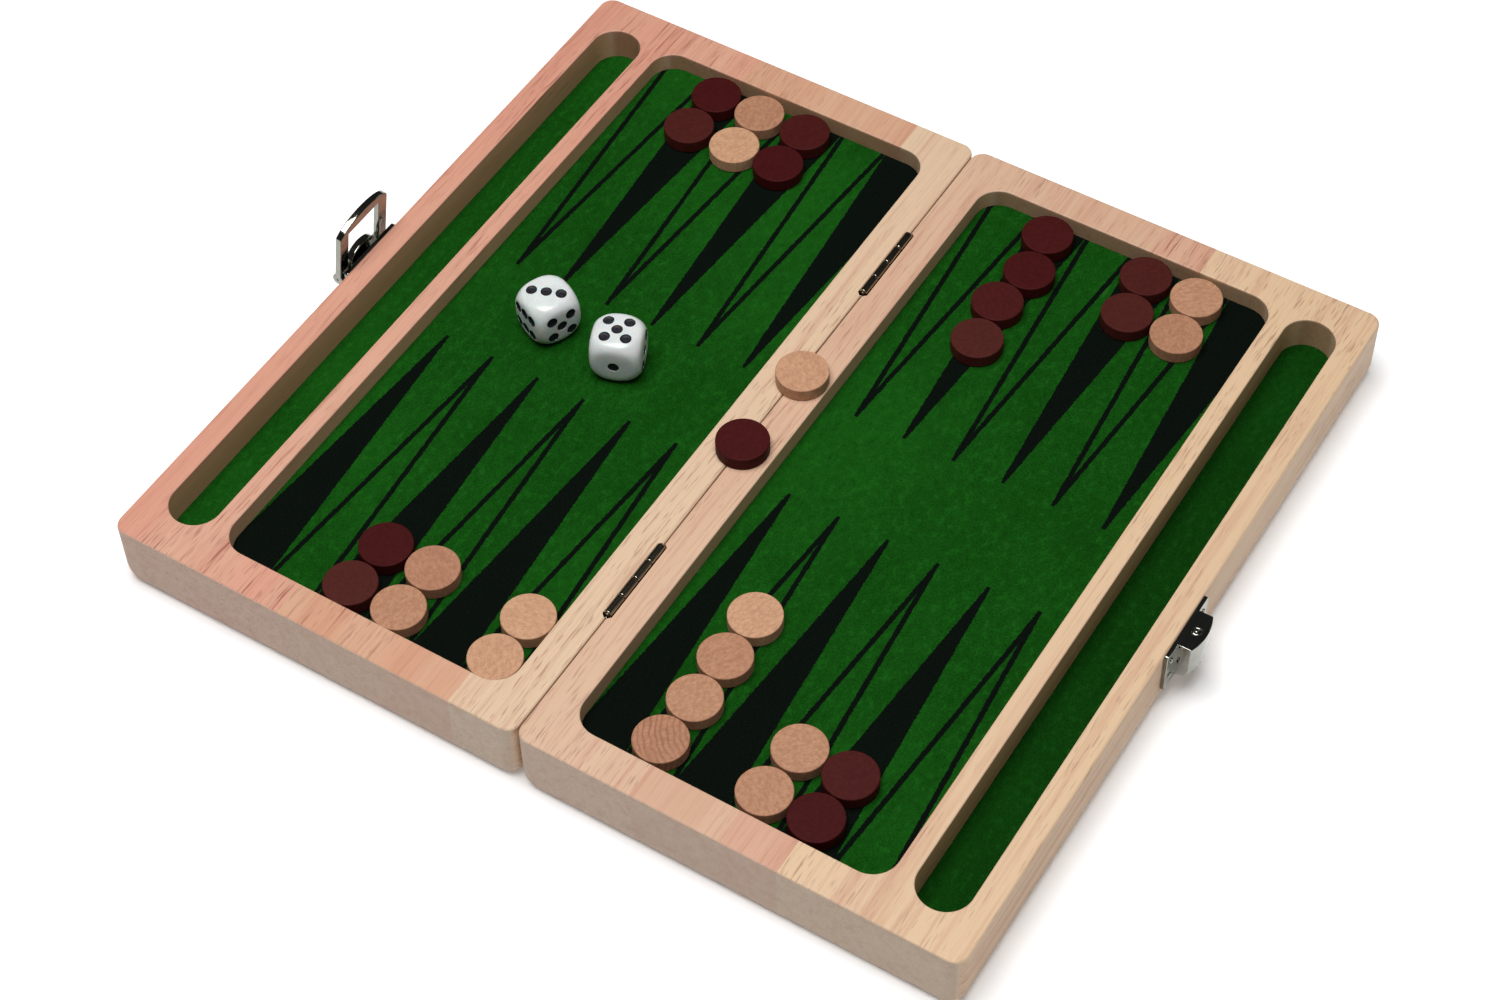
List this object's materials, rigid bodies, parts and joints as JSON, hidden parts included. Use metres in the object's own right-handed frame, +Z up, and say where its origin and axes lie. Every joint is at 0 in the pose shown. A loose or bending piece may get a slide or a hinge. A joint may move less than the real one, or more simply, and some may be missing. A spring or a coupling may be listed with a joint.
{
  "type": "folding backgammon set",
  "caption": "Folding wooden backgammon set with felt fields and trays, butt hinges, a toggle latch, round checkers and dice, open flat for play.",
  "frame": {"origin": "centre of the set's footprint when open flat, on the surface it lies on; the fold axis lies along Y just above the board's top face", "axes": "+X from the latch half to the catch half, +Y along the fold to the back, +Z up"},
  "size_m": [0.3045, 0.27, 0.043],
  "materials": {
    "wood": "clear satin lacquer on pale edge-glued hardwood",
    "felt": "short green flock with black printed points",
    "checker_dark": "dark red stained wood, satin",
    "checker_light": "natural wood, satin",
    "die": "polished white plastic",
    "nickel": "dull nickel plate",
    "chrome": "bright nickel plate"
  },
  "bodies": {
    "left_half": {"left_board": "wood", "left_field_felt": "felt", "left_tray_felt": "felt", "hinge_front_left_leaf": "nickel", "hinge_back_left_leaf": "nickel", "hinge_front_pin": "nickel", "hinge_back_pin": "nickel", "latch_plate": "chrome", "latch_lever_pin": "chrome", "latch_nail_1": "chrome", "latch_nail_2": "chrome", "latch_nail_3": "chrome", "latch_nail_4": "chrome"},
    "right_half": {"right_board": "wood", "right_field_felt": "felt", "right_tray_felt": "felt", "hinge_front_right_leaf": "nickel", "hinge_back_right_leaf": "nickel", "catch_box": "chrome", "catch_rivet": "chrome", "catch_nail_1": "chrome", "catch_nail_2": "chrome", "catch_nail_3": "chrome", "catch_nail_4": "chrome"},
    "lever": {"latch_lever": "chrome", "latch_bail_pin": "chrome"},
    "bail": {"latch_bail": "chrome"},
    "checker_dark_01": {"checker_dark_01": "checker_dark"},
    "checker_dark_02": {"checker_dark_02": "checker_dark"},
    "checker_dark_03": {"checker_dark_03": "checker_dark"},
    "checker_dark_04": {"checker_dark_04": "checker_dark"},
    "checker_dark_05": {"checker_dark_05": "checker_dark"},
    "checker_dark_06": {"checker_dark_06": "checker_dark"},
    "checker_dark_07": {"checker_dark_07": "checker_dark"},
    "checker_dark_08": {"checker_dark_08": "checker_dark"},
    "checker_dark_09": {"checker_dark_09": "checker_dark"},
    "checker_dark_10": {"checker_dark_10": "checker_dark"},
    "checker_dark_11": {"checker_dark_11": "checker_dark"},
    "checker_dark_12": {"checker_dark_12": "checker_dark"},
    "checker_dark_13": {"checker_dark_13": "checker_dark"},
    "checker_dark_14": {"checker_dark_14": "checker_dark"},
    "checker_dark_15": {"checker_dark_15": "checker_dark"},
    "checker_light_01": {"checker_light_01": "checker_light"},
    "checker_light_02": {"checker_light_02": "checker_light"},
    "checker_light_03": {"checker_light_03": "checker_light"},
    "checker_light_04": {"checker_light_04": "checker_light"},
    "checker_light_05": {"checker_light_05": "checker_light"},
    "checker_light_06": {"checker_light_06": "checker_light"},
    "checker_light_07": {"checker_light_07": "checker_light"},
    "checker_light_08": {"checker_light_08": "checker_light"},
    "checker_light_09": {"checker_light_09": "checker_light"},
    "checker_light_10": {"checker_light_10": "checker_light"},
    "checker_light_11": {"checker_light_11": "checker_light"},
    "checker_light_12": {"checker_light_12": "checker_light"},
    "checker_light_13": {"checker_light_13": "checker_light"},
    "checker_light_14": {"checker_light_14": "checker_light"},
    "checker_light_15": {"checker_light_15": "checker_light"},
    "die_1": {"die_1": "die"},
    "die_2": {"die_2": "die"}
  },
  "joints": [
    {"name": "fold", "type": "hinge", "parent": "left_half", "child": "right_half", "pos_m": [0, 0, 0.02495], "axis": [0, 1, 0], "range_deg": [-180, 0]},
    {"name": "lever_swing", "type": "hinge", "parent": "left_half", "child": "lever", "pos_m": [-0.1485, -0.0032, 0.0128], "axis": [0, 1, 0], "range_deg": [-80, 0]},
    {"name": "bail_swing", "type": "hinge", "parent": "lever", "child": "bail", "pos_m": [-0.15015, -0.0032, 0.0186], "axis": [0, 1, 0], "range_deg": [-25, 0]},
    {"name": "checker_dark_01_lift", "type": "slide", "parent": "left_half", "child": "checker_dark_01", "axis": [0, 0, 1], "range_m": [0, 0.06]},
    {"name": "checker_dark_02_lift", "type": "slide", "parent": "left_half", "child": "checker_dark_02", "axis": [0, 0, 1], "range_m": [0, 0.06]},
    {"name": "checker_dark_03_lift", "type": "slide", "parent": "left_half", "child": "checker_dark_03", "axis": [0, 0, 1], "range_m": [0, 0.06]},
    {"name": "checker_dark_04_lift", "type": "slide", "parent": "left_half", "child": "checker_dark_04", "axis": [0, 0, 1], "range_m": [0, 0.06]},
    {"name": "checker_dark_05_lift", "type": "slide", "parent": "left_half", "child": "checker_dark_05", "axis": [0, 0, 1], "range_m": [0, 0.06]},
    {"name": "checker_dark_06_lift", "type": "slide", "parent": "left_half", "child": "checker_dark_06", "axis": [0, 0, 1], "range_m": [0, 0.06]},
    {"name": "checker_dark_07_lift", "type": "slide", "parent": "right_half", "child": "checker_dark_07", "axis": [0, 0, 1], "range_m": [0, 0.06]},
    {"name": "checker_dark_08_lift", "type": "slide", "parent": "right_half", "child": "checker_dark_08", "axis": [0, 0, 1], "range_m": [0, 0.06]},
    {"name": "checker_dark_09_lift", "type": "slide", "parent": "right_half", "child": "checker_dark_09", "axis": [0, 0, 1], "range_m": [0, 0.06]},
    {"name": "checker_dark_10_lift", "type": "slide", "parent": "right_half", "child": "checker_dark_10", "axis": [0, 0, 1], "range_m": [0, 0.06]},
    {"name": "checker_dark_11_lift", "type": "slide", "parent": "right_half", "child": "checker_dark_11", "axis": [0, 0, 1], "range_m": [0, 0.06]},
    {"name": "checker_dark_12_lift", "type": "slide", "parent": "right_half", "child": "checker_dark_12", "axis": [0, 0, 1], "range_m": [0, 0.06]},
    {"name": "checker_dark_13_lift", "type": "slide", "parent": "right_half", "child": "checker_dark_13", "axis": [0, 0, 1], "range_m": [0, 0.06]},
    {"name": "checker_dark_14_lift", "type": "slide", "parent": "right_half", "child": "checker_dark_14", "axis": [0, 0, 1], "range_m": [0, 0.06]},
    {"name": "checker_dark_15_lift", "type": "slide", "parent": "left_half", "child": "checker_dark_15", "axis": [0, 0, 1], "range_m": [0, 0.35]},
    {"name": "checker_light_01_lift", "type": "slide", "parent": "left_half", "child": "checker_light_01", "axis": [0, 0, 1], "range_m": [0, 0.06]},
    {"name": "checker_light_02_lift", "type": "slide", "parent": "left_half", "child": "checker_light_02", "axis": [0, 0, 1], "range_m": [0, 0.06]},
    {"name": "checker_light_03_lift", "type": "slide", "parent": "left_half", "child": "checker_light_03", "axis": [0, 0, 1], "range_m": [0, 0.06]},
    {"name": "checker_light_04_lift", "type": "slide", "parent": "left_half", "child": "checker_light_04", "axis": [0, 0, 1], "range_m": [0, 0.06]},
    {"name": "checker_light_05_lift", "type": "slide", "parent": "left_half", "child": "checker_light_05", "axis": [0, 0, 1], "range_m": [0, 0.06]},
    {"name": "checker_light_06_lift", "type": "slide", "parent": "left_half", "child": "checker_light_06", "axis": [0, 0, 1], "range_m": [0, 0.06]},
    {"name": "checker_light_07_lift", "type": "slide", "parent": "right_half", "child": "checker_light_07", "axis": [0, 0, 1], "range_m": [0, 0.06]},
    {"name": "checker_light_08_lift", "type": "slide", "parent": "right_half", "child": "checker_light_08", "axis": [0, 0, 1], "range_m": [0, 0.06]},
    {"name": "checker_light_09_lift", "type": "slide", "parent": "right_half", "child": "checker_light_09", "axis": [0, 0, 1], "range_m": [0, 0.06]},
    {"name": "checker_light_10_lift", "type": "slide", "parent": "right_half", "child": "checker_light_10", "axis": [0, 0, 1], "range_m": [0, 0.06]},
    {"name": "checker_light_11_lift", "type": "slide", "parent": "right_half", "child": "checker_light_11", "axis": [0, 0, 1], "range_m": [0, 0.06]},
    {"name": "checker_light_12_lift", "type": "slide", "parent": "right_half", "child": "checker_light_12", "axis": [0, 0, 1], "range_m": [0, 0.06]},
    {"name": "checker_light_13_lift", "type": "slide", "parent": "right_half", "child": "checker_light_13", "axis": [0, 0, 1], "range_m": [0, 0.06]},
    {"name": "checker_light_14_lift", "type": "slide", "parent": "right_half", "child": "checker_light_14", "axis": [0, 0, 1], "range_m": [0, 0.06]},
    {"name": "checker_light_15_lift", "type": "slide", "parent": "left_half", "child": "checker_light_15", "axis": [0, 0, 1], "range_m": [0, 0.35]},
    {"name": "die_1_lift", "type": "slide", "parent": "left_half", "child": "die_1", "axis": [0, 0, 1], "range_m": [0, 0.35]},
    {"name": "die_2_lift", "type": "slide", "parent": "left_half", "child": "die_2", "axis": [0, 0, 1], "range_m": [0, 0.35]}
  ],
  "couplings": [
    {"joint": "lever_swing", "follows": "fold", "ratio": 0.44444},
    {"joint": "checker_dark_15_lift", "follows": "fold", "m_per_rad": -0.11},
    {"joint": "checker_light_15_lift", "follows": "fold", "m_per_rad": -0.11},
    {"joint": "die_1_lift", "follows": "fold", "m_per_rad": -0.11},
    {"joint": "die_2_lift", "follows": "fold", "m_per_rad": -0.11}
  ]
}
